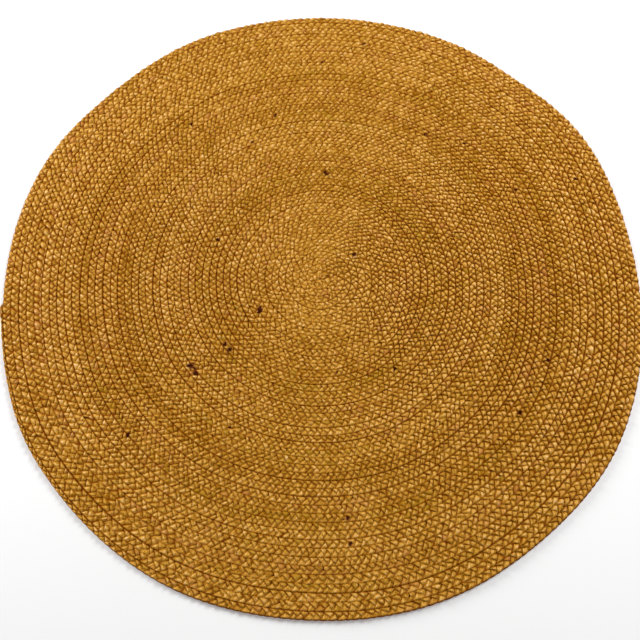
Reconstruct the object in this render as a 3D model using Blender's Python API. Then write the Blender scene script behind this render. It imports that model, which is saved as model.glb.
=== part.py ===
"""Round rug of plaited jute: one braid wound flat into a coil and sewn round to round.

Metres, +Z up. The rug lies on z = 0, and the middle of its outline is over the origin. Seen from
above the coil runs outwards clockwise, and its end is tucked in at the left-hand edge.
"""

import bpy
import numpy as np

# The braid and its coil
THICKNESS = 0.009  # floor to the top of a round
GROOVE_DEPTH = 0.003  # top of a round down to the sewn groove beside it
ROUNDS = 45
INNER_ROUNDS = 30  # these are of a slimmer braid
INNER_BRAID_WIDTH = 0.013
OUTER_BRAID_WIDTH = 0.014
SHOULDER = 0.46  # share of the way from the braid's middle to its edge where its top turns down
TILT = 0.0002  # how much lower the inner shoulder lies
START_TURN = 0.5  # the first half turn is a plain knob

# The end of the braid, tucked in at the rim
END_ANGLE = 183.0  # degrees, anticlockwise from +X
END_NARROWING = 0.0075  # how much slimmer the braid is at its end
END_TURNS = 0.25  # the stretch of a turn over which it narrows
END_HEIGHT = 0.8  # share of the thickness

# The uneven outline: how far the coil's edge stands outside an even spiral
FIRST_UNEVEN_TURN = 15  # inside this turn the rounds stay even
ROUNDING = 6.0  # degrees to each side over which the bends between rows are rounded
ROUNDING_SAMPLES = 13
EDGE_SHIFT = (  # degrees, millimetres
    (0, 1.0),
    (12, 4.0),
    (22, 13.5),
    (30, 18.5),
    (38, 13.5),
    (49, 4.5),
    (57, 11.5),
    (75, 9.5),
    (100, 12.0),
    (115, 17.0),
    (134, 8.5),
    (152, 17.0),
    (166, 14.0),
    (180, 9.0),
    (196, 5.5),
    (208, 11.0),
    (222, 6.0),
    (245, 6.0),
    (266, 1.0),
    (290, 9.0),
    (305, 6.5),
    (325, 14.5),
    (345, 7.5),
)

# The rim's section: share of the way from the braid's middle to its edge, share of its height
RIM_SECTION = (  # out, up
    (0.85, 0.70),
    (1.00, 0.44),
    (0.85, 0.12),
    (0.60, 0.00),
)

STEPS_AT_RIM = 96  # points of the coil in its last turn
STEPS_INSIDE = 58  # in the turn before it; turns nearer the middle have fewer
JUTE_COLOUR = (0.42, 0.20, 0.045, 1.0)
JUTE_ROUGHNESS = 0.85
SMOOTH_BELOW = np.radians(50)  # the grooves are sharper than this and the shoulders are not


def coil_angle(turn):
    """Angle in degrees at a turn: clockwise going outwards, ending at END_ANGLE."""
    return END_ANGLE + 360.0 * (ROUNDS - turn)


def near_end(turn):
    """From 0 to 1 over the stretch where the braid narrows to its end."""
    return np.clip((turn - ROUNDS + END_TURNS) / END_TURNS, 0.0, 1.0)


def edge_shift(angle):
    """EDGE_SHIFT in metres at angles in degrees: straight between rows, then rounded."""
    degrees, millimetres = np.array(EDGE_SHIFT, float).T
    nearby = angle[:, None] + np.linspace(-ROUNDING, ROUNDING, ROUNDING_SAMPLES)
    shift = np.interp(nearby % 360.0, degrees, millimetres, period=360.0)
    return shift.mean(axis=1) / 1000.0


def edge_radius(turn):
    """Radius of the braid's outer edge: the even coil, its uneven shift and the narrowed end."""
    slim = np.clip(turn, 0.0, INNER_ROUNDS) * INNER_BRAID_WIDTH
    full = np.maximum(turn - INNER_ROUNDS, 0.0) * OUTER_BRAID_WIDTH
    outward = np.clip((turn - FIRST_UNEVEN_TURN) / (ROUNDS - FIRST_UNEVEN_TURN), 0.0, 1.0)
    narrowing = END_NARROWING * near_end(turn) ** 2 * (3.0 - 2.0 * near_end(turn))
    return slim + full + edge_shift(coil_angle(turn)) * outward - narrowing


def coil_turns():
    """Turns of the coil's points, set so that every round's chords bow equally little.

    The steps grow with the square root of the radius, so the points are even in turn ** 1.5. The
    first turn is a stretch of its own, because the next round meets its end, and so is the last.
    """
    stops = np.array([START_TURN, START_TURN + 1, ROUNDS - 1]) ** 1.5
    density = STEPS_INSIDE / (stops[-1] - (ROUNDS - 2) ** 1.5)
    turns = [
        np.linspace(a, b, round((b - a) * density) + 2)[:-1] ** (2 / 3)
        for a, b in zip(stops[:-1], stops[1:])
    ]
    turns.append(np.linspace(ROUNDS - 1, ROUNDS, STEPS_AT_RIM + 1))
    return np.concatenate(turns).round(9)


def on_braid(turn, across, height):
    """Points at these turns, from -1 at the braid's inner edge to 1 at its outer one."""
    outer, inner = edge_radius(turn), edge_radius(turn - 1)
    radius = (outer + inner) / 2 + (outer - inner) / 2 * across
    angle = np.radians(coil_angle(turn))
    return np.stack([radius * np.cos(angle), radius * np.sin(angle), height], axis=1)


def strip(inner, outer):
    """Quads between two rows of vertex numbers that run clockwise, facing up or outwards."""
    return np.stack([inner[:-1], inner[1:], outer[1:], outer[:-1]], axis=1).tolist()


def zipped(inner, inner_turn, outer, outer_turn):
    """Triangles between two rows whose points don't pair up, one for each step of either row."""
    steps = np.concatenate([inner_turn[1:], outer_turn[1:]])
    order = np.argsort(steps, kind="stable")
    on_inner = order < len(inner) - 1
    i = np.cumsum(on_inner) - on_inner
    j = np.cumsum(~on_inner) - ~on_inner
    next_inner = inner[np.minimum(i + 1, len(inner) - 1)]
    next_outer = outer[np.minimum(j + 1, len(outer) - 1)]
    third = np.where(on_inner, next_inner, next_outer)
    return np.stack([inner[i], third, outer[j]], axis=1).tolist()


def rug_mesh():
    """The coil as one closed solid: a rib along each round, a groove between rounds, a rim."""
    turn = coil_turns()
    last = turn >= ROUNDS - 1
    sewn = turn <= ROUNDS - 1  # these points have a next round outside them
    second = turn >= START_TURN + 1
    top = THICKNESS * (1.0 - (1.0 - END_HEIGHT) * near_end(turn) ** 3)
    groove_height = np.full(sewn.sum(), THICKNESS - GROOVE_DEPTH)

    rows = [
        on_braid(turn, -SHOULDER, top - TILT),
        on_braid(turn, SHOULDER, top),
        on_braid(turn[sewn], 1.0, groove_height),
    ]
    rows += [on_braid(turn[last], out, top[last] * up) for out, up in RIM_SECTION]
    rows.append(np.array([[0.0, 0.0, THICKNESS], [0.0, 0.0, 0.0]]))
    starts = np.cumsum([0] + [len(row) for row in rows])
    inner, outer, groove, *rim, middles = (
        np.arange(start, start + len(row)) for start, row in zip(starts, rows)
    )
    above, below = middles
    first_turn = inner[~second]
    foot = rim[-1]

    faces = strip(inner, outer) + strip(outer[sewn], groove)
    faces += zipped(groove, turn[sewn] + 1, inner[second], turn[second])
    faces += [[above, b, a] for a, b in zip(first_turn[:-1], first_turn[1:])]
    start_seam = [above, inner[0], outer[0], groove[0], inner[second][0], first_turn[-1]]
    faces.append(start_seam)
    for upper, lower in zip([outer[last], *rim[:-1]], rim):
        faces += strip(upper, lower)
    faces += [[a, b, below] for a, b in zip(foot[:-2], foot[1:-1])]
    faces.append([foot[-2], foot[-1], foot[0], below])
    end_face = [foot[0], foot[-1], *(row[-1] for row in rim[-2::-1]), outer[-1], inner[-1]]
    end_face += [groove[-1], outer[last][0], *(row[0] for row in rim[:-1])]
    faces.append(end_face)

    points = np.concatenate(rows)
    middle = (points.min(axis=0) + points.max(axis=0)) / 2
    points[:, :2] -= middle[:2]
    mesh = bpy.data.meshes.new("braided_rug")
    mesh.from_pydata(points.tolist(), [], [[int(i) for i in face] for face in faces])
    mesh.validate()
    mesh.shade_smooth()
    mesh.set_sharp_from_angle(angle=SMOOTH_BELOW)
    return mesh


def jute():
    """Dry, mustard-brown jute."""
    material = bpy.data.materials.new("jute")
    material.use_nodes = True
    shader = material.node_tree.nodes["Principled BSDF"]
    shader.inputs["Base Color"].default_value = JUTE_COLOUR
    shader.inputs["Roughness"].default_value = JUTE_ROUGHNESS
    shader.inputs["Metallic"].default_value = 0.0
    return material


def build():
    """The whole rug, one braid."""
    rug = bpy.data.objects.new("braided_rug", rug_mesh())
    rug.data.materials.append(jute())
    bpy.context.scene.collection.objects.link(rug)


for leftover in list(bpy.data.objects):
    bpy.data.objects.remove(leftover, do_unlink=True)
build()
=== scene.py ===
"""Round rug of plaited jute, dressed as it looks: its stitches, its sewing and its loose fibres.

Metres, +Z up, in the frame of the rug's solid. Seen from above one flat three-strand braid is
coiled outwards clockwise, and its end is tucked in at the left-hand edge.
"""

import bpy
import numpy as np
from bpy.props import FloatProperty, FloatVectorProperty, IntProperty, PointerProperty
from mathutils import Matrix, Vector


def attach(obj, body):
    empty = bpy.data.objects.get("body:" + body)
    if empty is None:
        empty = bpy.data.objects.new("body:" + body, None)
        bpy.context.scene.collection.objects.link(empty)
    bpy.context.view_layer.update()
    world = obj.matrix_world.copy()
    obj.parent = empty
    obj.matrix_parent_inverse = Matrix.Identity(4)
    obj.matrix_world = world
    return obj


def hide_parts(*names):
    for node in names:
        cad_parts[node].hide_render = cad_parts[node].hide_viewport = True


bl_info = {
    "name": "Coiled Jute Rug",
    "version": (1, 0, 0),
    "blender": (4, 5, 0),
    "location": "3D View > Sidebar > Rug",
    "description": "Builds a round rug of plaited jute on its solid",
    "category": "Add Mesh",
}

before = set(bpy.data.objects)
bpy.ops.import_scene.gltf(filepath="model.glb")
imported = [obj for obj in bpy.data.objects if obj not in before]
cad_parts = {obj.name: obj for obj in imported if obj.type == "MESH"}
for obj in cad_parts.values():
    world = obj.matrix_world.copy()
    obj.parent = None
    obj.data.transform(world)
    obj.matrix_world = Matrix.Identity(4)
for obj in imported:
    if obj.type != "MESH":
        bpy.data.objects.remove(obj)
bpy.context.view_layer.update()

SOLID = "braided_rug"

# The coil, as in the solid
ROUNDS = 45
INNER_ROUNDS = 30  # these are of a slimmer braid
INNER_BRAID_WIDTH = 0.013
OUTER_BRAID_WIDTH = 0.014
START_TURN = 0.5
END_ANGLE = 183.0  # degrees, anticlockwise from +X
END_TURNS = 0.25  # the stretch of a turn over which the braid narrows to its end
END_NARROWING = 0.0095  # a little more than in the solid, because the stitches swell
FIRST_UNEVEN_TURN = 15
ROUNDING = 6.0  # degrees to each side over which the bends between rows are rounded
ROUNDING_SAMPLES = 13
EDGE_SHIFT = (  # degrees, millimetres
    (0, 1.0), (12, 4.0), (22, 13.5), (30, 18.5), (38, 13.5), (49, 4.5), (57, 11.5), (75, 9.5),
    (100, 12.0), (115, 17.0), (134, 8.5), (152, 17.0), (166, 14.0), (180, 9.0), (196, 5.5),
    (208, 11.0), (222, 6.0), (245, 6.0), (266, 1.0), (290, 9.0), (305, 6.5), (325, 14.5),
    (345, 7.5),
)

TABLE_STEPS = 60_000  # points of the table along the coil
WANDER = 0.0004  # metres that the rounds stray from their even path
WANDER_REACH = 50  # table steps
CLOSED_TURN = 1.85  # up to here the inner edge reaches further in, so that no hole is left
CLOSING_TURNS = 0.3  # that ends over this
KNOB = 0.0026  # metres that the braid stands out where its end is tucked in
KNOB_TURN = 0.0045  # turns before the end
KNOB_SPREAD = 0.0035
LONGER_FROM = 0.44  # radius from which the stitches lengthen
LONGER_OVER = 0.10
STITCH_SPREAD = 0.06  # of a stitch's length
STITCH_REACH = 90  # table steps
FIRST_STITCH = 0.72  # length at radius 0, of a full stitch
FULL_STITCH_FROM = 0.07  # radius
ROWS_PER_STITCH = 4
RUNS = 5  # the braid is built in this many lengths

# Added to a seed, so that each use has random numbers of its own
LEAN_SEED = 1
SURFACE_SEED = 2
STITCH_SEED = 6
OUTER_PULL_SEED = 9
INNER_PULL_SEED = 10
TONE_SEED = 20
HAIR_SEED = 1

# Where a dark knot or husk is plaited in
FLECKS = (  # x, y, radius: millimetres from the coil's middle
    (-113, -59, 5.0), (-168, -135, 4.0), (-237, -163, 5.5), (-230, -175, 4.5), (-176, -122, 4.0),
    (17, 224, 4.5), (346, -266, 4.0), (66, 46, 3.5), (221, 305, 3.5), (35, -437, 4.5),
    (17, 486, 3.5), (-195, 86, 3.0), (408, -170, 3.0), (26, -182, 3.0), (131, -179, 3.0),
    (-166, -275, 3.0), (-345, -286, 3.0), (433, -45, 3.0), (508, 195, 3.0), (386, 177, 3.0),
    (295, 283, 3.0), (-128, 299, 3.0), (-81, 360, 3.0), (-252, 346, 3.0), (106, 529, 3.0),
    (40, -480, 3.5),
)

# The stage
FLOOR_HALF = 6.0  # metres to each side
FLOOR_DROP = 0.0003  # metres under the rug
FLOOR_ROUGHNESS = 0.9
SOFTBOX_SIZE = 1.2
SOFTBOXES = (  # name, place, share of the key power
    ("softbox_right", (1.72, 0.98, 1.85), 0.485),
    ("softbox_left", (-2.15, 0.98, 1.17), 0.525),
    ("softbox_front", (0.0, -2.7, 1.8), 0.03),
)
SENSOR_WIDTH = 36.0  # millimetres
CAMERA_PLACE = (0.0, -0.5333, 1.3303)  # metres from the coil's middle
CAMERA_AIM = (-0.00205, -0.07977, 0.0)
CAMERA_ROLL = -1.792  # degrees


class BraidSizes(bpy.types.PropertyGroup):
    """Sizes of the braid's stitches."""

    thickness: FloatProperty(
        name="Thickness", description="Floor to the top of a stitch", default=0.0094, unit="LENGTH"
    )
    middle_stitch: FloatProperty(
        name="Stitch near the middle",
        description="Length of a stitch in the inner rounds",
        default=0.0116,
        unit="LENGTH",
    )
    outer_stitch: FloatProperty(
        name="Stitch near the edge",
        description="Length of a stitch in the outer rounds",
        default=0.0134,
        unit="LENGTH",
    )
    zigzag: FloatProperty(
        name="Zigzag",
        description="How far the line between the two rows of stitches swings, of half the braid",
        default=0.52,
    )
    slant: FloatProperty(
        name="Slant", description="Lean of a stitch along the braid, in stitches", default=0.30
    )
    diagonal: FloatProperty(
        name="Diagonal",
        description="How far a stitch's ridge runs along its strand, 0 straight across to 1",
        default=0.5,
    )
    crease: FloatProperty(
        name="Crease", description="Height of the creases", default=0.0051, unit="LENGTH"
    )
    groove: FloatProperty(
        name="Groove", description="Height where two rounds touch", default=0.0040, unit="LENGTH"
    )
    bulge: FloatProperty(
        name="Bulge",
        description="How far a stitch swells into the next round, of half the braid",
        default=0.13,
    )
    jog: FloatProperty(
        name="Jog", description="Spread of the stitches along the braid, in stitches", default=0.15
    )
    roll: FloatProperty(
        name="Roll", description="How unevenly the stitches lie, of their relief", default=0.50
    )
    lean: FloatProperty(
        name="Lean",
        description="How far the outer row of stitches shows more than the inner one",
        default=0.15,
    )
    seed: IntProperty(name="Seed", description="Seed of the braid's unevenness", default=7)


class JuteColours(bpy.types.PropertyGroup):
    """Colours and finish of the jute."""

    # The jute's own tones; the painted highlight on stitch tops also leans to straw
    straw: FloatVectorProperty(
        name="Straw", description="Jute in the light", subtype="COLOR", default=(0.92, 0.48, 0.068)
    )
    # Painted highlight: the paler colour of the brightest stitch tops
    pale: FloatVectorProperty(
        name="Pale", description="Bleached fibres", subtype="COLOR", default=(1.0, 0.66, 0.30)
    )
    ochre: FloatVectorProperty(
        name="Ochre", description="Darker fibres", subtype="COLOR", default=(0.34, 0.12, 0.0)
    )
    russet: FloatVectorProperty(
        name="Russet", description="Reddish strands", subtype="COLOR", default=(0.58, 0.22, 0.05)
    )
    olive: FloatVectorProperty(
        name="Olive", description="Greenish strands", subtype="COLOR", default=(0.46, 0.24, 0.008)
    )
    # Painted shade, laid into the creases and grooves
    shade: FloatVectorProperty(
        name="Shade", description="Dusty creases", subtype="COLOR", default=(0.25, 0.055, 0.0)
    )
    husk: FloatVectorProperty(
        name="Husk", description="Dark knots", subtype="COLOR", default=(0.045, 0.001, 0.0)
    )
    stain: FloatVectorProperty(
        name="Stain", description="Reddish spots", subtype="COLOR", default=(0.24, 0.055, 0.018)
    )
    gleam: FloatVectorProperty(
        name="Gleam", description="Tint of the shine", subtype="COLOR", default=(1.0, 0.92, 0.68)
    )
    roughness: FloatProperty(
        name="Roughness", description="Roughness of the fibres", subtype="FACTOR", default=0.38
    )


class ThreadSizes(bpy.types.PropertyGroup):
    """Sizes and colours of the sewing thread and the loose fibres."""

    thread_radius: FloatProperty(
        name="Thread", description="Radius of the sewing thread", default=0.0004, unit="LENGTH"
    )
    pitch: FloatProperty(
        name="Pitch", description="Length of one zigzag of the sewing", default=0.014, unit="LENGTH"
    )
    reach: FloatProperty(
        name="Reach", description="How far it goes into each round", default=0.0028, unit="LENGTH"
    )
    thread_height: FloatProperty(
        name="Thread height", description="Height over the floor", default=0.0007, unit="LENGTH"
    )
    twine: FloatVectorProperty(
        name="Twine", description="Sewing thread", subtype="COLOR", default=(0.62, 0.36, 0.10)
    )
    fibre_radius: FloatProperty(
        name="Fibre", description="Radius of a fibre at its root", default=0.00013, unit="LENGTH"
    )
    fibres: IntProperty(name="Fibres", description="Loose fibres on the top", default=700)
    hairs: IntProperty(name="Hairs", description="Loose fibres along the rim", default=260)
    fibre: FloatVectorProperty(
        name="Fibre colour", description="Loose fibres", subtype="COLOR", default=(0.80, 0.52, 0.20)
    )
    seed: IntProperty(name="Seed", description="Seed of the loose fibres", default=41)


class StageSettings(bpy.types.PropertyGroup):
    """Floor, light and camera."""

    floor_colour: FloatVectorProperty(
        name="Floor", description="Floor's colour", subtype="COLOR", default=(0.94, 0.94, 0.94)
    )
    floor_glow: FloatProperty(
        name="Glow", description="Light that the floor gives off itself", default=0.20
    )
    key_power: FloatProperty(
        name="Softboxes", description="Power of all three together", default=105.0, unit="POWER"
    )
    fill: FloatProperty(name="Fill", description="Brightness of the room", default=0.15)
    lens: FloatProperty(name="Lens", description="Focal length in millimetres", default=42.64)


# ---- the coil


def coil_angle(turn):
    """Angle in degrees at a turn: clockwise going outwards, ending at END_ANGLE."""
    return END_ANGLE + 360.0 * (ROUNDS - turn)


def edge_shift(angle):
    """EDGE_SHIFT in metres at angles in degrees: straight between rows, then rounded."""
    degrees, millimetres = np.array(EDGE_SHIFT, float).T
    nearby = angle[:, None] + np.linspace(-ROUNDING, ROUNDING, ROUNDING_SAMPLES)
    shift = np.interp(nearby % 360.0, degrees, millimetres, period=360.0)
    return shift.mean(axis=1) / 1000.0


def edge_radius(turn):
    """Radius of the braid's outer edge: the even coil plus its uneven shift."""
    slim = np.clip(turn, 0.0, INNER_ROUNDS) * INNER_BRAID_WIDTH
    full = np.maximum(turn - INNER_ROUNDS, 0.0) * OUTER_BRAID_WIDTH
    outward = np.clip((turn - FIRST_UNEVEN_TURN) / (ROUNDS - FIRST_UNEVEN_TURN), 0.0, 1.0)
    return slim + full + edge_shift(coil_angle(turn)) * outward


def soft_noise(count, reach, seed):
    """Random numbers of spread 1 that change smoothly over about reach entries."""
    rough = np.random.default_rng(seed).standard_normal(count)
    waves = np.fft.rfftfreq(count)
    soft = np.fft.irfft(np.fft.rfft(rough) * np.exp(-((waves * reach * 2.0) ** 2)), count)
    return soft / soft.std()


class Coil:
    """The braid's path, as a fine table along the coil.

    Each step has its turn, the radius of the braid's inner and outer edge, the metres of braid so
    far and the stitches so far. last_round is the stitch at which the last round starts.
    """

    def __init__(self, sizes):
        turn = np.linspace(START_TURN, ROUNDS, TABLE_STEPS)
        wander = WANDER * soft_noise(TABLE_STEPS, WANDER_REACH, sizes.seed)
        wander *= np.clip(turn - START_TURN - 1.0, 0.0, 1.0)
        wander_before = np.interp(turn - 1.0, turn, wander)
        still_closing = np.clip((CLOSED_TURN - turn) / CLOSING_TURNS, 0.0, 1.0)
        closing = np.maximum(turn - 1.0, 0.0) * still_closing - np.minimum(turn - 1.0, 0.0)
        near_end = np.clip((turn - ROUNDS + END_TURNS) / END_TURNS, 0.0, 1.0)
        narrowing = END_NARROWING * near_end**2 * (3.0 - 2.0 * near_end)
        knob = KNOB * np.exp(-(((turn - ROUNDS + KNOB_TURN) / KNOB_SPREAD) ** 2))
        self.turn = turn
        self.inner = edge_radius(turn - 1.0) + wander_before - INNER_BRAID_WIDTH * closing
        self.outer = edge_radius(turn) + wander - narrowing + knob
        middle = (self.inner + self.outer) / 2.0
        steps = 2.0 * np.pi * middle * np.gradient(turn)
        self.length = np.cumsum(steps)
        longer = np.clip((middle - LONGER_FROM) / LONGER_OVER, 0.0, 1.0)
        stitch = sizes.middle_stitch + (sizes.outer_stitch - sizes.middle_stitch) * longer
        stitch *= 1.0 + STITCH_SPREAD * soft_noise(
            TABLE_STEPS, STITCH_REACH, sizes.seed + STITCH_SEED
        )
        near_middle = FIRST_STITCH + (1.0 - FIRST_STITCH) * middle / FULL_STITCH_FROM
        stitch *= np.minimum(near_middle, 1.0)
        stitches = np.cumsum(steps / stitch)
        self.count = int(stitches[-1] // RUNS) * RUNS
        self.stitches = (stitches - stitches[0]) / (stitches[-1] - stitches[0]) * self.count
        self.last_round = np.interp(ROUNDS - 1.0, turn, self.stitches)
        rim = turn >= ROUNDS - 1
        angle = np.radians(coil_angle(turn[rim]))
        x, y = self.outer[rim] * np.cos(angle), self.outer[rim] * np.sin(angle)
        self.middle = np.array([(x.min() + x.max()) / 2.0, (y.min() + y.max()) / 2.0])

    def at(self, stitch):
        """Angle, radius of the braid's middle and half its width at places counted in stitches."""
        turn = np.interp(stitch, self.stitches, self.turn)
        inner = np.interp(stitch, self.stitches, self.inner)
        outer = np.interp(stitch, self.stitches, self.outer)
        return np.radians(coil_angle(turn)), (inner + outer) / 2.0, (outer - inner) / 2.0

    def flat_size(self, number, bulge):
        """Mean width and length in metres of one of the RUNS lengths of braid, laid straight."""
        ends = np.array([number, number + 1]) * self.count / RUNS
        start, stop = np.interp(ends, self.stitches, self.length)
        _, _, half = self.at(np.linspace(*ends, WIDTH_SAMPLES))
        swell = 1.0 + bulge * crest(np.linspace(0.0, 1.0, CREST_SAMPLES)).mean()
        return float(2.0 * half.mean() * swell), float(stop - start)

    def point(self, angle, radius, height):
        """Points at these angles and radii."""
        x = radius * np.cos(angle) - self.middle[0]
        y = radius * np.sin(angle) - self.middle[1]
        return np.stack([x, y, height], axis=-1)

    def place(self, stitch, across, height):
        """Points at these stitches, from -1 at the braid's inner edge to 1 at its outer one."""
        angle, radius, half = self.at(stitch)
        return self.point(angle, radius + half * across, height)


# ---- the braid

# Points round the braid: five for each row over the top, the line between them, five underneath
INNER_ROW = (0, 1, 2, 3, 4)
LINE = 5
OUTER_ROW = (10, 9, 8, 7, 6)
UNDER = 11
RING = 16
TOP = (1.0, 0.86, 0.65, 0.42, 0.17)  # a row's places from its edge to the line
BOTTOM = np.linspace(0.78, -0.78, 5)  # the underside's places, in halves of the braid's width
WIDTH_SAMPLES = 400  # for a run's flat size
CREST_SAMPLES = 200

# How far the outer row of stitches shows more than the inner one
DRIFT = 0.08  # how much that changes once round the rug
DRIFT_ANGLE = 100.0  # degrees, where it is most
ROUND_LEAN = 0.10  # its spread along the braid
LEAN_REACH = 70  # stitches over which it changes
BLOCKY = 0.62  # how much more in the one round that looks like blocks, at the left
BLOCKY_SPREAD = 24.0  # degrees to each side
BLOCKY_RADIUS = 0.532
BLOCKY_WIDTH = 0.011

# The line between the two rows of stitches, in halves of the braid's width
LINE_LEAN = 0.85  # how far it moves where the outer row shows more by 1
BASE_LIMIT = 0.62
SWING_LIMIT = 0.88
LINE_LIMIT = 0.86
SWING_SPREAD = 0.20

# The relief: sizes in metres
CENTRAL_RADIUS = 0.12  # from here to the middle the relief grows shallower
CENTRAL_RISE = 0.0012  # how much shallower creases and grooves are in the middle
SIDE_DROP = 0.0005  # how much deeper the creases are at the left and the right
SPREAD_LIMIT = 2.0  # no stitch differs by more than this many spreads
TALL_SPREAD = 0.045  # of a stitch's height
TALL_LEAN = 0.10  # how much taller the row is that shows more by 1
TALL_LIMITS = (-0.14, 0.03)
EDGE = 1.015  # over 1, so that no gap shows between two rounds
SKEW = 0.25  # half the stitches that a ridge runs along the braid at a diagonal of 1
OWN_JOG = 0.5  # how much of the jog a stitch's top has of its own
DOME = 0.85  # how far a stitch falls to its edges, of its height
PULL_REACH = 60  # stitches over which the pull of the sewing changes
PULL_SPREAD = 0.85
PULL_LIMIT = 1.5
SIDE_PULL = 0.9  # more at the left and the right
RIM_PULL = 1.2
PULL_DROP = 0.0010  # how much a pull of 1 deepens the grooves
DEEPEST_PULL = 1.1

# Painted shade in the creases, on the line between the rows and in the grooves, from 0 to
# about 1; where it is low, the material paints a highlight on the stitch's top instead
LINE_DARK = 0.77
SIDE_DARK = 0.09  # more at the left and the right
# how much the painted shade differs from one half stitch to the next
UNEVEN_SHADE = 0.09
CENTRAL_PALE = 0.16  # less in the middle
# painted shade on the stitches' tops, which dims their painted highlight
DULL = 0.038  # a stitch's top has twice this at the rug's top and bottom
CENTRAL_DULL = 0.09
CREST_UNSHADED = 0.95  # how much of the darkness a stitch's top is free of
# Painted shade in the grooves between two rounds, more where the sewing pulls them
SEAM_DARK = 0.84
PULL_DARK = 0.17
CENTRAL_SEAM_PALE = 0.15
SEAM_UNSHADED = 0.22  # less beside a stitch's middle
SEAM_FROM = 0.65  # where a groove's darkness starts, from the line at 0 to the edge at 1
SEAM_OVER = 0.2

# The underside
FLAT_RISE = 0.0005  # the braid lies flat up to where its round section would rise by this
UNDER_RELIEF = 0.001
UNDER_GROOVE = 0.12  # reach of the groove under the line
# Painted shade on the underside, more between stitches and at the last round's outer edge
UNDER_DARK = 0.3
PRESS_DARK = 0.6
RIM_DARK = 0.5
RIM_FROM = 0.3  # the rim starts here on the last round's underside

# The ends
START_STITCHES = 2.0  # the stitches grow to their full slant over these
NOSE_STITCHES = 0.9  # the braid's end rounds off over these
NOSE_TIP = 0.02  # the part of them that is cut off blunt
NOSE_HEIGHT = 0.0035

# Tones by strand and by stitch
STRANDS = 3
STRAND_REACH = 160
SLOW_REACH = 500
STRAND_TONE = 0.45
SLOW_TONE = 0.4
STITCH_TONE = 0.75
HUE_SHIFT = 10  # added to the seed for the hues
SLOW_SHIFT = 4

# The flat coordinates that the fibres follow, in metres
FIBRE_SLOPE = 0.95  # radians between the fibres and the braid
STRAND_MAP_LENGTH = 4.0  # they start again after this
STITCH_STEP = 0.37  # from each stitch to the next, so that their fibres differ
STITCH_STEP_LIMIT = 3.0

# The flat coordinates for colour: each run lies in FOLDS rows of FOLD_STITCHES stitches, the top of
# the braid on most of a row's height, and its two ends after the last row
BAKE_MAP = "OFBake"
FOLDS = 22
FOLD_STITCHES = 63
RING_SHARE = np.concatenate([np.linspace(0.02, 0.66, 11), np.linspace(0.66, 0.98, 7)[1:]])
END_PLACES = (0.90, 0.96)
END_WIDTH = 0.02
END_HEIGHT = 0.4  # of a row

# The same for a thin tube, in a square cell of its own
CELL_MARGIN = 0.05
TUBE_END_PLACES = (0.25, 0.75)
TUBE_END_WIDTH = 0.06
TUBE_END_HEIGHT = 0.15


def crest(share):
    """0 in the crease between two stitches of a row, 1 on a stitch's middle: about a half sine."""
    return np.abs(np.sin(np.pi * share))


def lean_at(coil, stitch, sizes):
    """How far the outer row shows more than the inner one: a share, by place and by round."""
    angle, radius, _ = coil.at(stitch)
    drift = DRIFT * np.cos(angle - np.radians(DRIFT_ANGLE))
    number = np.clip(stitch, 0, coil.count).astype(int)
    rounds = soft_noise(coil.count + 1, LEAN_REACH, sizes.seed + LEAN_SEED)[number]
    from_left = np.degrees(angle) % 360.0 - 180.0
    blocky = np.exp(-((from_left / BLOCKY_SPREAD) ** 2))
    blocky *= np.exp(-(((radius - BLOCKY_RADIUS) / BLOCKY_WIDTH) ** 2))
    return sizes.lean + drift + ROUND_LEAN * rounds + BLOCKY * blocky


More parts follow.
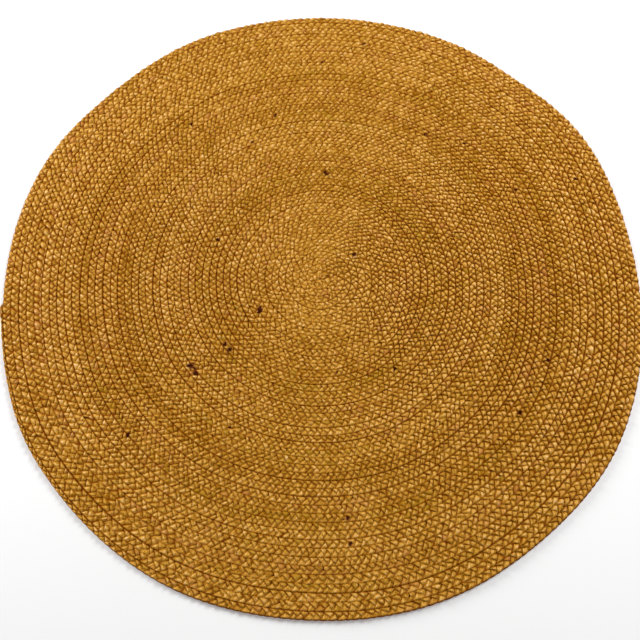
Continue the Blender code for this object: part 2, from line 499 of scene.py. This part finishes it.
def braid_surface(coil, sizes):
    """The braid's skin as rows along it of RING points: stitch, across, height, painted shade.

    Four rows make a stitch. The outer row of stitches spans 0 to 1 of its phase and the inner row
    is half a stitch on. The line between them swings as a cosine, so each stitch is a triangle with
    its base on a groove, and both rows slant outwards along the braid.

    v runs from 0 on the line to 1 on the edge. Along the braid a stitch rises from its creases as a
    half sine to the power 1 + v squared, drawn to the side where it lies over its neighbour's end.
    Across the braid it is a dome: 1 - DOME |2v - 1| squared near the line, and cubed near the edge.
    Its foot sinks from the creases to the groove with the eighth power of v. Two rounds are drawn
    together more at the left and the right of the rug (cosine of twice the angle), which makes the
    grooves deeper there, and the painted shade in them darker. Near the rug's middle the relief is
    shallower and the painted shade paler.

    The last is painted shade, for the colour alone: near 0 on a stitch's top and about 1 in a
    groove. Where it is low, the material paints a highlight.
    """
    count = coil.count * ROWS_PER_STITCH + 1
    row = np.arange(count) / ROWS_PER_STITCH
    phase = row % 1.0
    lean = lean_at(coil, row, sizes)
    rng = np.random.default_rng(sizes.seed + SURFACE_SEED)
    whole = np.arange(coil.count + 2)
    base = np.clip(-LINE_LEAN * lean, -BASE_LIMIT, BASE_LIMIT)
    swing = np.minimum(sizes.zigzag, SWING_LIMIT - np.abs(base))
    swing *= 1.0 + SWING_SPREAD * np.interp(row, whole, rng.standard_normal(coil.count + 2))
    line = np.clip(base + swing * np.cos(2.0 * np.pi * phase), -LINE_LIMIT, LINE_LIMIT)
    outer_shift, inner_shift = (
        sizes.jog * np.interp(row + offset, whole, rng.standard_normal(coil.count + 2))
        for offset in (0.0, 0.5)
    )
    at_outer = np.cos(np.pi * phase) ** 2
    line_shift = at_outer * outer_shift + (1.0 - at_outer) * inner_shift

    stitch, across, height, painted_shade = (np.empty((count, RING)) for _ in range(4))
    angle, radius, _ = coil.at(row)
    sideways = np.cos(2.0 * angle)
    central = np.clip(1.0 - radius / CENTRAL_RADIUS, 0.0, 1.0)
    in_last = row > coil.last_round
    half_stitches = np.arange(2 * coil.count + 2)
    uneven_shade = np.interp(2.0 * row, half_stitches, rng.standard_normal(len(half_stitches)))
    # painted shade at the creases and the line; dull adds painted shade on the tops
    dark = LINE_DARK + SIDE_DARK * sideways + UNEVEN_SHADE * uneven_shade - CENTRAL_PALE * central
    dull = DULL * (1.0 - sideways) + CENTRAL_DULL * central
    crease = sizes.crease - SIDE_DROP * sideways + CENTRAL_RISE * central
    across[:, LINE], height[:, LINE] = line, crease
    stitch[:, LINE], painted_shade[:, LINE] = line_shift, dark
    for side, columns, offset, shift, pull_seed in (
        (1.0, OUTER_ROW, 0.0, outer_shift, OUTER_PULL_SEED),
        (-1.0, INNER_ROW, 0.5, inner_shift, INNER_PULL_SEED),
    ):
        share = (phase + offset) % 1.0
        number = np.floor(row + offset).astype(int)
        tall, jog, along, beside = (
            np.clip(rng.standard_normal(coil.count + 2), -SPREAD_LIMIT, SPREAD_LIMIT)[number]
            for _ in range(4)
        )
        tall = (1.0 + TALL_SPREAD * tall) * (1.0 + np.clip(TALL_LEAN * side * lean, *TALL_LIMITS))
        edge = side * (EDGE + sizes.bulge * crest(share))
        skew = SKEW * sizes.diagonal * (1.0 - np.cos(2.0 * np.pi * share))
        pulled = soft_noise(coil.count + 2, PULL_REACH, sizes.seed + pull_seed)
        pulled = np.interp(row, whole, np.clip(pulled, -PULL_LIMIT, PULL_LIMIT))
        pulled = (PULL_SPREAD * pulled + SIDE_PULL * sideways) * (1.0 - central)
        if side > 0.0:
            pulled = np.where(in_last, RIM_PULL, pulled)
        groove = sizes.groove - PULL_DROP * np.minimum(pulled, DEEPEST_PULL)
        groove += CENTRAL_RISE * central
        # painted shade in the groove between two rounds
        seam = SEAM_DARK + PULL_DARK * pulled - CENTRAL_SEAM_PALE * central
        seam *= 1.0 - SEAM_UNSHADED * crest(share)
        for column, v in zip(columns, TOP):
            rise = crest(np.minimum(share + skew * (1.0 - v), 1.0)) ** (1.0 + v * v)
            dome = 1.0 - DOME * np.abs(2.0 * v - 1.0) ** (2.0 if v < 0.5 else 3.0)
            low = crease + (groove - crease) * v**8
            turned = 1.0 + sizes.roll * (along * (share - 0.5) + beside * (v - 0.5))
            across[:, column] = line + (edge - line) * v
            height[:, column] = low + (sizes.thickness * tall - low) * rise * dome * turned
            stitch[:, column] = (sizes.slant + shift) * v + line_shift * (1.0 - v)
            stitch[:, column] += OWN_JOG * sizes.jog * jog * rise
            beside_seam = seam * min(max((v - SEAM_FROM) / SEAM_OVER, 0.0), 1.0)
            on_stitch = dark * (1.0 - CREST_UNSHADED * rise * dome) + dull
            painted_shade[:, column] = np.maximum(on_stitch, beside_seam)
    press = 1.0 - crest((phase[:, None] + np.where(BOTTOM > 0.0, 0.0, 0.5)) % 1.0)
    rounded = sizes.groove * (1.0 - np.sqrt(1.0 - BOTTOM**2)) - FLAT_RISE
    under_line = np.exp(-((BOTTOM / UNDER_GROOVE) ** 2))
    rim = in_last[:, None] & (BOTTOM > RIM_FROM)
    across[:, UNDER:] = BOTTOM
    height[:, UNDER:] = np.maximum(rounded, 0.0) + UNDER_RELIEF * np.maximum(press, under_line)
    stitch[:, UNDER:] = sizes.slant * np.abs(BOTTOM)
    # painted shade on the underside and the last round's outer edge
    painted_shade[:, UNDER:] = UNDER_DARK + PRESS_DARK * press + RIM_DARK * rim
    stitch = row[:, None] + stitch * np.minimum(row / START_STITCHES, 1.0)[:, None]
    stitch *= coil.count / stitch.max()

    to_end = np.clip((coil.count - stitch) / NOSE_STITCHES, NOSE_TIP, 1.0)
    nose = np.sqrt(1.0 - (1.0 - to_end) ** 2)
    across *= nose
    height = NOSE_HEIGHT + (height - NOSE_HEIGHT) * nose
    return stitch, across, height, painted_shade


def shell(name, points, corners, sizes_of_faces):
    """A closed mesh from its points and the corner numbers of its faces, one face after another."""
    mesh = bpy.data.meshes.new(name)
    mesh.vertices.add(len(points))
    mesh.vertices.foreach_set("co", np.ascontiguousarray(points, np.float32).ravel())
    mesh.loops.add(len(corners))
    mesh.loops.foreach_set("vertex_index", np.ascontiguousarray(corners, np.int32))
    mesh.polygons.add(len(sizes_of_faces))
    starts = np.concatenate([[0], np.cumsum(sizes_of_faces)[:-1]])
    mesh.polygons.foreach_set("loop_start", starts.astype(np.int32))
    mesh.update(calc_edges=True)
    mesh.validate()
    mesh.shade_smooth()
    return mesh


def tube_faces(rows, ring):
    """Corner numbers and face sizes of a tube of rows by ring points, closed at both ends."""
    i, j = np.meshgrid(np.arange(rows - 1), np.arange(ring), indexing="ij")
    here, there = i * ring, (i + 1) * ring
    after = (j + 1) % ring
    quads = np.stack([here + j, there + j, there + after, here + after], axis=-1).reshape(-1, 4)
    start = np.arange(ring)
    end = (rows - 1) * ring + np.arange(ring)[::-1]
    corners = np.concatenate([quads.ravel(), start, end])
    return corners, np.concatenate([np.full(len(quads), 4), [ring, ring]])


def thin_tubes(name, paths, radii, sides):
    """Many thin closed tubes in one mesh, from paths of tubes by points by 3.

    Each ring lies across its path at the radius given there, its first point uppermost. The tubes
    have cells of a square grid in the flat coordinates, so that none overlaps another.
    """
    count, rows, _ = paths.shape
    ahead = np.gradient(paths, axis=1)
    ahead /= np.linalg.norm(ahead, axis=2, keepdims=True)
    beside = np.cross([0.0, 0.0, 1.0], ahead)
    beside /= np.linalg.norm(beside, axis=2, keepdims=True)
    above = np.cross(ahead, beside)
    around = 2.0 * np.pi * np.arange(sides)[:, None] / sides
    ring = np.cos(around) * above[:, :, None] + np.sin(around) * beside[:, :, None]
    points = (paths[:, :, None] + radii[..., None, None] * ring).reshape(-1, 3)
    corners, face_sizes = tube_faces(rows, sides)
    every = (corners + rows * sides * np.arange(count)[:, None]).ravel()
    mesh = shell(name, points, every, np.tile(face_sizes, count))

    cells = int(np.ceil(np.sqrt(count)))
    step, place = np.meshgrid(np.arange(rows - 1), np.arange(sides), indexing="ij")
    u = (step[..., None] + [0, 1, 1, 0]).ravel() / rows
    v = (place[..., None] + [0, 0, 1, 1]).ravel() / sides
    for middle in TUBE_END_PLACES:
        u = np.append(u, 1.0 - TUBE_END_WIDTH * (1.0 + np.cos(around)))
        v = np.append(v, middle + TUBE_END_HEIGHT * np.sin(around))
    cell = np.arange(count)[:, None]
    inside = 1.0 - 2.0 * CELL_MARGIN
    pairs = np.stack([cell % cells + inside * u, cell // cells + inside * v], axis=-1)
    lay_flat(mesh, BAKE_MAP, (pairs + CELL_MARGIN).reshape(-1, 2) / cells)
    return mesh


def link(name, data):
    """Puts an object with this data in the scene."""
    made = bpy.data.objects.new(name, data)
    bpy.context.scene.collection.objects.link(made)
    return made


def keep(mesh, name, values, domain="POINT"):
    """Stores one number for each point or face of a mesh."""
    stored = mesh.attributes.new(name, "FLOAT", domain).data
    stored.foreach_set("value", values.astype(np.float32).ravel())


def lay_flat(mesh, name, pairs):
    """Stores one pair of flat coordinates for each corner of a mesh."""
    mesh.uv_layers.new(name=name).data.foreach_set("uv", pairs.astype(np.float32).ravel())


def fleck_at(points, coil):
    """1 in the middle of the nearest dark knot, falling to 0 at twice its radius."""
    found = np.zeros(len(points))
    for x, y, radius in FLECKS:
        centre = np.array([x, y]) / 1000.0 - coil.middle
        gap = np.hypot(points[:, 0] - centre[0], points[:, 1] - centre[1])
        found = np.maximum(found, 1.0 - gap / (2.0 * radius / 1000.0))
    return found


def strand_tones(coil, seed):
    """Brightness and hue of every stitch in turn, outer and inner by turns.

    Each of the three strands drifts slowly on its own, the whole braid drifts more slowly, and each
    stitch differs a little.
    """
    count = 2 * coil.count + 4
    order = np.arange(count)
    rng = np.random.default_rng(seed)
    tones = []
    for first in (seed, seed + HUE_SHIFT):
        strand = np.stack([soft_noise(count, STRAND_REACH, first + n) for n in range(STRANDS)])
        tone = STRAND_TONE * strand[order % STRANDS, order]
        tone += SLOW_TONE * soft_noise(count, SLOW_REACH, first + SLOW_SHIFT)
        tones.append(tone + STITCH_TONE * rng.standard_normal(count))
    return tones


def braid_run(number, coil, surface, tones, material):
    """One length of the braid: a tube of its rows, with their colours and flat coordinates."""
    stitches_each = coil.count // RUNS
    first = number * stitches_each * ROWS_PER_STITCH
    rows = slice(first, first + stitches_each * ROWS_PER_STITCH + 1)
    stitch, across, height, painted_shade = (part[rows] for part in surface)
    points = coil.place(stitch, across, height).reshape(-1, 3)
    count = len(stitch)
    corners, face_sizes = tube_faces(count, RING)
    mesh = shell(f"braid_run_{number + 1}", points, corners, face_sizes)

    step, place = np.meshgrid(np.arange(count - 1), np.arange(RING), indexing="ij")
    outer_row = ((place >= LINE) & (place < UNDER + 2)).ravel()
    row = (first + step.ravel() + 0.5) / ROWS_PER_STITCH
    index = np.where(outer_row, 2 * np.floor(row), 2 * np.floor(row + 0.5) - 1).astype(int)
    index = np.clip(index, 0, len(tones[0]) - 1)
    for name, tone in zip(("tone", "hue"), tones):
        keep(mesh, name, np.concatenate([tone[index], [0.0, 0.0]]), "FACE")
    # painted shade of creases and grooves; where it is low the material paints a highlight
    keep(mesh, "painted_shade", painted_shade)
    keep(mesh, "fleck", np.clip(fleck_at(points, coil), 0.0, 1.0))

    _, _, half = coil.at(stitch)
    along = (stitch * (coil.length[-1] / coil.count)).ravel()
    wide = (across * half).ravel()
    quads = corners[: 4 * len(index)].reshape(-1, 4)
    slope = np.where(outer_row, FIBRE_SLOPE, -FIBRE_SLOPE)[:, None]
    fibre = along[quads] * np.cos(slope) + wide[quads] * np.sin(slope)
    beside = -along[quads] * np.sin(slope) + wide[quads] * np.cos(slope)
    fibre = fibre % STRAND_MAP_LENGTH + (index[:, None] * STITCH_STEP) % STITCH_STEP_LIMIT
    pairs = np.stack([fibre, beside], axis=-1).reshape(-1, 2)
    lay_flat(mesh, "strand", np.concatenate([pairs, np.zeros((2 * RING, 2))]))

    fold, step_in_fold = np.divmod(step.ravel(), FOLD_STITCHES * ROWS_PER_STITCH)
    u = (step_in_fold[:, None] + [0, 1, 1, 0]) / (FOLD_STITCHES * ROWS_PER_STITCH)
    v = (fold[:, None] + RING_SHARE[place.ravel()[:, None] + [0, 0, 1, 1]]) / FOLDS
    around = 2.0 * np.pi * np.arange(RING) / RING
    for middle in END_PLACES:
        u = np.append(u, middle + END_WIDTH * np.cos(around))
        v = np.append(v, (FOLDS - 0.5 + END_HEIGHT * np.sin(around)) / FOLDS)
    lay_flat(mesh, BAKE_MAP, np.stack([u, v], axis=-1))

    mesh.materials.append(material)
    return link(mesh.name, mesh)


# ---- thread and fibres

THREAD_STEPS = 50  # half zigzags in one length of thread
SIDES = 3  # of a thread or a fibre
FIBRE_WAY = np.linspace(0.0, 1.0, 7)  # a fibre's points, from its root to its tip
FIBRE_TIP = 0.4  # its radius at the tip, of that at the root

# On the top: heights and lengths in metres, angles in radians
FIRST_FIBRE = 4.0  # stitches from the start
LAST_FIBRE = 0.92  # of all stitches
FIBRE_ACROSS = 0.7  # to each side, in halves of the braid's width
FIBRE_HEIGHT = 0.0079
FIBRE_ARCH = (0.0012, 0.0024)
ARCH_SHARE = 0.8  # a fibre ends before its arch is down again
ARCH_POWER = 0.7
FIBRE_BEND = 1.0
FIBRE_LENGTH = (0.008, 0.028)

# Along the rim
HAIR_MARGINS = (2.0, 3.0)  # stitches left free at the two ends of the last round
HAIR_ACROSS = (0.80, 0.92)
HAIR_ROOT = (0.002, 0.0055)
HAIR_TIP = 0.0004
HAIR_SINK = 1.5  # the power with which a hair sinks along its way
HAIR_HEADING = 0.7
HAIR_BEND = 0.9
HAIR_LENGTH = (0.004, 0.011)


def sewing_paths(coil, sizes):
    """The sewing thread, in lengths that meet: a zigzag under the groove between each two rounds.

    The thread follows the outer edge of every round but the last and crosses it once in each half
    pitch, from sizes.reach inside the edge to as much outside.
    """
    sewn = (coil.turn >= START_TURN + 1.0) & (coil.turn <= ROUNDS - 1.0)
    turn, radius = coil.turn[sewn], coil.outer[sewn]
    run = np.cumsum(2.0 * np.pi * radius * np.gradient(turn))
    lengths = int(2.0 * (run[-1] - run[0]) / sizes.pitch) // THREAD_STEPS
    step = np.arange(lengths * THREAD_STEPS + 1)
    place = np.interp(step, [0, step[-1]], [run[0], run[-1]])
    angle = np.radians(coil_angle(np.interp(place, run, turn)))
    side = np.where(step % 2 == 0, sizes.reach, -sizes.reach)
    radius = np.interp(place, run, radius) + side
    points = coil.point(angle, radius, np.full(len(step), sizes.thread_height))
    return points[np.arange(lengths)[:, None] * THREAD_STEPS + np.arange(THREAD_STEPS + 1)]


def strewn(start, heading, bend, length, rise):
    """Curved paths from their starts: the heading turns by bend and the height follows rise."""
    angle = heading[:, None] + bend[:, None] * FIBRE_WAY
    step = length[:, None] * np.diff(FIBRE_WAY, prepend=0.0)
    x = start[:, :1] + np.cumsum(np.cos(angle) * step, axis=1)
    y = start[:, 1:2] + np.cumsum(np.sin(angle) * step, axis=1)
    return np.stack([x, y, rise], axis=-1)


def fibre_paths(coil, sizes):
    """Loose fibres on the top: each leaves a stitch, arches over its neighbours and lies down."""
    rng = np.random.default_rng(sizes.seed)
    count = sizes.fibres
    stitch = rng.uniform(FIRST_FIBRE, LAST_FIBRE * coil.count, count)
    start = coil.place(stitch, rng.uniform(-FIBRE_ACROSS, FIBRE_ACROSS, count), np.zeros(count))
    arch = rng.uniform(*FIBRE_ARCH, count)[:, None]
    rise = FIBRE_HEIGHT + arch * np.sin(np.pi * FIBRE_WAY * ARCH_SHARE) ** ARCH_POWER
    heading = rng.uniform(0.0, 2.0 * np.pi, count)
    bend = rng.normal(0.0, FIBRE_BEND, count)
    return strewn(start, heading, bend, rng.uniform(*FIBRE_LENGTH, count), rise)


def hair_paths(coil, sizes):
    """Loose fibres along the rim: each leaves the last round outwards and sinks to the floor."""
    rng = np.random.default_rng(sizes.seed + HAIR_SEED)
    count = sizes.hairs
    start, end = HAIR_MARGINS
    stitch = rng.uniform(coil.last_round + start, coil.count - end, count)
    start = coil.place(stitch, rng.uniform(*HAIR_ACROSS, count), np.zeros(count))
    angle, _, _ = coil.at(stitch)
    root = rng.uniform(*HAIR_ROOT, count)[:, None]
    rise = HAIR_TIP + (root - HAIR_TIP) * (1.0 - FIBRE_WAY**HAIR_SINK)
    heading = angle + rng.normal(0.0, HAIR_HEADING, count)
    bend = rng.normal(0.0, HAIR_BEND, count)
    return strewn(start, heading, bend, rng.uniform(*HAIR_LENGTH, count), rise)


def add_tubes(name, paths, radii, material):
    """Puts thin_tubes in the scene as a piece that lies with the rug."""
    mesh = thin_tubes(name, paths, radii, SIDES)
    mesh.materials.append(material)
    piece = link(name, mesh)
    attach(piece, "root")


# ---- materials


class Term:
    """A number on a node's socket, so that shader maths reads as it is worked out."""

    def __init__(self, finish, socket):
        self.finish = finish
        self.socket = socket

    def __add__(self, other):
        return self.finish.maths("ADD", self, other)

    def __radd__(self, other):
        return self.finish.maths("ADD", other, self)

    def __sub__(self, other):
        return self.finish.maths("SUBTRACT", self, other)

    def __rsub__(self, other):
        return self.finish.maths("SUBTRACT", other, self)

    def __mul__(self, other):
        return self.finish.maths("MULTIPLY", self, other)

    def __rmul__(self, other):
        return self.finish.maths("MULTIPLY", other, self)


class Finish:
    """A node-based material under construction."""

    def __init__(self, name):
        self.material = bpy.data.materials.new(name)
        self.material.use_nodes = True
        self.tree = self.material.node_tree
        self.shader = self.tree.nodes["Principled BSDF"]

    def node(self, kind, settings=None, sockets=None, output=0):
        """Adds a node, sets its settings and then its sockets, and returns one of its outputs."""
        made = self.tree.nodes.new(kind)
        for name, value in (settings or {}).items():
            setattr(made, name, value)
        for name, value in (sockets or {}).items():
            self.feed(made.inputs[name], value)
        return Term(self, made.outputs[output])

    def feed(self, socket, value):
        """Links a socket to a term, or sets its value."""
        if isinstance(value, Term):
            self.tree.links.new(value.socket, socket)
        else:
            socket.default_value = value

    def maths(self, operation, first, second):
        """One Math node."""
        return self.node("ShaderNodeMath", {"operation": operation}, {0: first, 1: second})

    def between(self, value, low, high):
        """0 below low, 1 above high and smooth in between."""
        return self.node(
            "ShaderNodeMapRange",
            {"interpolation_type": "SMOOTHSTEP"},
            {"Value": value, "From Min": low, "From Max": high},
        )

    def mix(self, share, first, second):
        """A colour between two colours."""
        sockets = {0: share, 6: first, 7: second}
        return self.node("ShaderNodeMix", {"data_type": "RGBA"}, sockets, output=2)

    def stored(self, name):
        """A number stored on the mesh."""
        settings = {"attribute_name": name, "attribute_type": "GEOMETRY"}
        return self.node("ShaderNodeAttribute", settings, output=2)

    def noise(self, place, scale, detail):
        """Cloudy noise about 0.5: its scale, and how many finer layers it has."""
        sockets = {"Vector": place, "Scale": scale, "Detail": detail}
        return self.node("ShaderNodeTexNoise", {}, sockets)

    def streaks(self, place, along, across, detail):
        """Noise with one scale along the fibres and another across them."""
        sockets = {0: place, 1: (along, across, 1.0)}
        scaled = self.node("ShaderNodeVectorMath", {"operation": "MULTIPLY"}, sockets)
        return self.noise(scaled, 1.0, detail)

    def bump(self, height, strength, distance):
        """Relief too fine for the mesh."""
        sockets = {"Height": height, "Strength": strength, "Distance": distance}
        return self.node("ShaderNodeBump", {}, sockets)

    def surface(self, sockets):
        """Feeds the shader and returns the material."""
        for name, value in sockets.items():
            self.feed(self.shader.inputs[name], value)
        return self.material


# Noise in the jute. Streaks: scales along and across the fibres, layers. The rest: scale, layers
FINE = (90.0, 2200.0, 2.0)
BROAD = (90.0, 380.0, 1.0)
PATCH = (9.0, 3.0)
# mottles the stains and also the painted shade and highlight
GRIME_AND_SHADE = (380.0, 2.0)
SPOTS = (130.0, 1.0)

# How much each cause adds to the light, from ochre at 0 to straw at 1. Tone, fibres and patches
# are the jute's own; the crown adds a painted highlight on the stitches' tops
PLAIN_LIGHT = 0.39
TONE_LIGHT = 0.07
FINE_LIGHT = 0.5
BROAD_LIGHT = 1.1
PATCH_LIGHT = 0.25
# painted highlight on the stitches' tops
CROWN_LIGHT = 0.68
CROWN_TONE = 0.11

# The pair over which each effect grows, the most it covers and how much each cause counts
# The crown and pale colour paint a highlight on stitch tops; the shade colour paints shade
CROWN = (0.58, 1.06)
HIGHLIGHT_MOTTLE = 0.9
PALE_HIGHLIGHT = (0.65, 1.35)
TINTED = (0.6, 3.2)
TINT_COVER = 0.6
TINT_PATCH = 4.0
SHADED = (0.46, 0.85)
SHADE_COVER = 0.95
SHADE_MOTTLE = 0.5
STAINED = (0.72, 0.88)
STAIN_COVER = 0.65
STAIN_FLECK = 0.8
STAIN_GRIME = 0.3
DARK = (0.40, 0.66)
DARK_COVER = 0.92
DARK_SPOTS = 1.8
DARK_BROAD = 0.8
SILKY = (0.8, 1.5)
SILKY_FINE = 0.5
SILKY_BROAD = 1.5
SILKY_TONE = 0.1
ROUGH_SHADE = 0.3
ROUGH_FINE = 0.3
RELIEF = (0.8, 0.0009)  # strength, metres
RELIEF_FINE = 0.5

# The same for the sewing thread and the loose fibres
TWIST_TONES = (260.0, 2.0)
TWIST_RIDGES = (2600.0, 1.0)
TWISTED = (0.3, 0.7)
TWIST_LIGHT = 0.5
TWIST_DARK = 0.45  # the darkest tone, of the colour
TWIST_ROUGHNESS = 0.45
TWIST_ROUGH_TONES = 0.3
TWIST_RELIEF = (0.5, 0.0002)


def rgba(colour):
    """A colour property with full cover."""
    return (*colour, 1.0)


def jute(colours):
    """Dry jute in silky strands: streaks along the fibres and tones by strand.

    The creases and grooves get painted shade, and the stitches' tops a painted highlight.
    """
    finish = Finish("plaited_jute")
    strand = finish.node("ShaderNodeUVMap", {"uv_map": "strand"})
    here = finish.node("ShaderNodeTexCoord", output=3)
    fine, broad = finish.streaks(strand, *FINE), finish.streaks(strand, *BROAD)
    patch, grime_and_shade, spots = (finish.noise(here, *noise) for noise in (PATCH, GRIME_AND_SHADE, SPOTS))
    tone, hue = finish.stored("tone"), finish.stored("hue")
    painted_shade, fleck = finish.stored("painted_shade"), finish.stored("fleck")

    # crown: the stitches' tops, where the painted highlight goes and the coat shines
    crown = finish.between(1.0 - painted_shade + (grime_and_shade - 0.5) * HIGHLIGHT_MOTTLE, *CROWN)
    light = PLAIN_LIGHT + tone * TONE_LIGHT + (fine - 0.5) * FINE_LIGHT
    light = light + (broad - 0.5) * BROAD_LIGHT + (patch - 0.5) * PATCH_LIGHT
    light = light + crown * (CROWN_LIGHT + tone * CROWN_TONE)
    colour = finish.mix(finish.between(light, 0.0, 1.0), rgba(colours.ochre), rgba(colours.straw))
    # painted highlight: the brightest tops turn pale
    colour = finish.mix(finish.between(light, *PALE_HIGHLIGHT), colour, rgba(colours.pale))
    tint = hue + (patch - 0.5) * TINT_PATCH
    reddish, greenish = finish.between(tint, *TINTED), finish.between(0.0 - tint, *TINTED)
    colour = finish.mix(reddish * TINT_COVER, colour, rgba(colours.russet))
    colour = finish.mix(greenish * TINT_COVER, colour, rgba(colours.olive))
    # painted shade in the creases and grooves
    shaded = finish.between(painted_shade + (grime_and_shade - 0.5) * SHADE_MOTTLE, *SHADED)
    colour = finish.mix(shaded * SHADE_COVER, colour, rgba(colours.shade))
    stained = finish.between(fleck * STAIN_FLECK + spots + (grime_and_shade - 0.5) * STAIN_GRIME, *STAINED)
    colour = finish.mix(stained * STAIN_COVER, colour, rgba(colours.stain))
    dark = finish.between(fleck + (spots - 0.5) * DARK_SPOTS + (broad - 0.5) * DARK_BROAD, *DARK)
    colour = finish.mix(dark * DARK_COVER, colour, rgba(colours.husk))
    silky = finish.between(fine * SILKY_FINE + broad * SILKY_BROAD + tone * SILKY_TONE, *SILKY)
    return finish.surface(
        {
            "Base Color": colour,
            "Specular IOR Level": 0.05,
            "Specular Tint": rgba(colours.gleam),
            "Coat Weight": crown * (1.0 - dark) * silky,
            "Coat IOR": 1.8,
            "Coat Roughness": 0.35,
            "Coat Tint": rgba(colours.gleam),
            "Roughness": colours.roughness + shaded * ROUGH_SHADE + (fine - 0.5) * ROUGH_FINE,
            "Normal": finish.bump(fine * RELIEF_FINE + broad, *RELIEF),
        }
    )


def twisted(name, colour):
    """A thread or a fibre: lighter and darker along it, with fine ridges."""
    finish = Finish(name)
    here = finish.node("ShaderNodeTexCoord", output=3)
    tones, ridges = finish.noise(here, *TWIST_TONES), finish.noise(here, *TWIST_RIDGES)
    light = finish.between(tones + (ridges - 0.5) * TWIST_LIGHT, *TWISTED)
    dark = tuple(TWIST_DARK * part for part in colour)
    return finish.surface(
        {
            "Base Color": finish.mix(light, rgba(dark), rgba(colour)),
            "Roughness": TWIST_ROUGHNESS + tones * TWIST_ROUGH_TONES,
            "Normal": finish.bump(ridges, *TWIST_RELIEF),
        }
    )


def plain(name, colour, roughness, glow):
    """One even finish with a faint light of its own."""
    sockets = {"Base Color": rgba(colour), "Roughness": roughness}
    sockets |= {"Emission Color": rgba(colour), "Emission Strength": glow}
    return Finish(name).surface(sockets)


# ---- operators


class RUG_OT_braid(bpy.types.Operator):
    """Plait the braid and coil it"""

    bl_idname = "rug.braid"
    bl_label = "Coiled Braid"

    def execute(self, context):
        sizes = context.scene.braid_sizes
        coil = Coil(sizes)
        surface = braid_surface(coil, sizes)
        tones = strand_tones(coil, sizes.seed + TONE_SEED)
        material = jute(context.scene.jute_colours)
        for number in range(RUNS):
            run = braid_run(number, coil, surface, tones, material)
            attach(run, "root")
            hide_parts(SOLID)
            coil.flat_size(number, sizes.bulge)
        return {"FINISHED"}


class RUG_OT_sewing(bpy.types.Operator):
    """Sew the rounds together from underneath"""

    bl_idname = "rug.sewing"
    bl_label = "Sewing Thread"

    def execute(self, context):
        sizes = context.scene.thread_sizes
        paths = sewing_paths(Coil(context.scene.braid_sizes), sizes)
        radii = np.full(paths.shape[:2], sizes.thread_radius)
        add_tubes("sewing_thread", paths, radii, twisted("sewing_twine", sizes.twine))
        return {"FINISHED"}


class RUG_OT_fibres(bpy.types.Operator):
    """Strew the loose fibres over the top and along the rim"""

    bl_idname = "rug.fibres"
    bl_label = "Loose Fibres"

    def execute(self, context):
        sizes = context.scene.thread_sizes
        coil = Coil(context.scene.braid_sizes)
        material = twisted("loose_fibre", sizes.fibre)
        taper = np.linspace(1.0, FIBRE_TIP, len(FIBRE_WAY))
        for name, paths in (
            ("loose_fibres", fibre_paths(coil, sizes)),
            ("rim_fibres", hair_paths(coil, sizes)),
        ):
            radii = sizes.fibre_radius * taper * np.ones(paths.shape[:2])
            add_tubes(name, paths, radii, material)
        return {"FINISHED"}


class RUG_OT_stage(bpy.types.Operator):
    """Set up the floor, the soft light and the camera"""

    bl_idname = "rug.stage"
    bl_label = "Stage"

    def execute(self, context):
        stage = context.scene.stage_settings
        coil_middle = Vector((*-Coil(context.scene.braid_sizes).middle, 0.0))
        mesh = bpy.data.meshes.new("floor")
        corners = ((-1, -1), (1, -1), (1, 1), (-1, 1))
        points = [(FLOOR_HALF * x, FLOOR_HALF * y, -FLOOR_DROP) for x, y in corners]
        mesh.from_pydata(points, [], [(0, 1, 2, 3)])
        finish = plain("pale_floor", stage.floor_colour, FLOOR_ROUGHNESS, stage.floor_glow)
        mesh.materials.append(finish)
        floor = link("floor", mesh)

        world = bpy.data.worlds.new("studio")
        world.use_nodes = True
        background = world.node_tree.nodes["Background"]
        background.inputs["Color"].default_value = (1.0, 1.0, 1.0, 1.0)
        background.inputs["Strength"].default_value = stage.fill
        context.scene.world = world
        for name, place, share in SOFTBOXES:
            softbox = bpy.data.lights.new(name, "AREA")
            softbox.shape = "SQUARE"
            softbox.size = SOFTBOX_SIZE
            softbox.energy = stage.key_power * share
            lamp = link(name, softbox)
            lamp.location = place
            lamp.rotation_euler = (-lamp.location).to_track_quat("-Z", "Y").to_euler()

        lens = bpy.data.cameras.new("camera")
        lens.lens = stage.lens
        lens.sensor_width = SENSOR_WIDTH
        camera = link("camera", lens)
        place, aim = Vector(CAMERA_PLACE), Vector(CAMERA_AIM)
        turned = (aim - place).to_track_quat("-Z", "Y").to_matrix().to_4x4()
        turned = turned @ Matrix.Rotation(np.radians(CAMERA_ROLL), 4, "Z")
        camera.matrix_world = Matrix.Translation(place + coil_middle) @ turned
        context.scene.camera = camera
        context.scene.view_settings.view_transform = "Standard"
        return {"FINISHED"}


class RUG_PT_panel(bpy.types.Panel):
    """Lists the rug's pieces and their sizes and colours"""

    bl_label = "Coiled Jute Rug"
    bl_idname = "RUG_PT_panel"
    bl_space_type = "VIEW_3D"
    bl_region_type = "UI"
    bl_category = "Rug"

    def draw(self, context):
        layout = self.layout
        for group in GROUPS:
            settings = getattr(context.scene, group)
            box = layout.box()
            for name in settings.__annotations__:
                box.prop(settings, name)
        for operator in OPERATORS:
            layout.operator(operator.bl_idname)


GROUPS = {
    "braid_sizes": BraidSizes,
    "jute_colours": JuteColours,
    "thread_sizes": ThreadSizes,
    "stage_settings": StageSettings,
}
OPERATORS = (RUG_OT_braid, RUG_OT_sewing, RUG_OT_fibres, RUG_OT_stage)


def register():
    for cls in (*GROUPS.values(), *OPERATORS, RUG_PT_panel):
        bpy.utils.register_class(cls)
    for name, group in GROUPS.items():
        setattr(bpy.types.Scene, name, PointerProperty(type=group))


def unregister():
    for name in GROUPS:
        delattr(bpy.types.Scene, name)
    for cls in (RUG_PT_panel, *reversed(OPERATORS), *reversed(GROUPS.values())):
        bpy.utils.unregister_class(cls)


def main():
    """Builds the rug and its stage."""
    register()
    bpy.ops.rug.braid()
    bpy.ops.rug.sewing()
    bpy.ops.rug.fibres()
    bpy.ops.rug.stage()


if __name__ == "__main__":
    main()
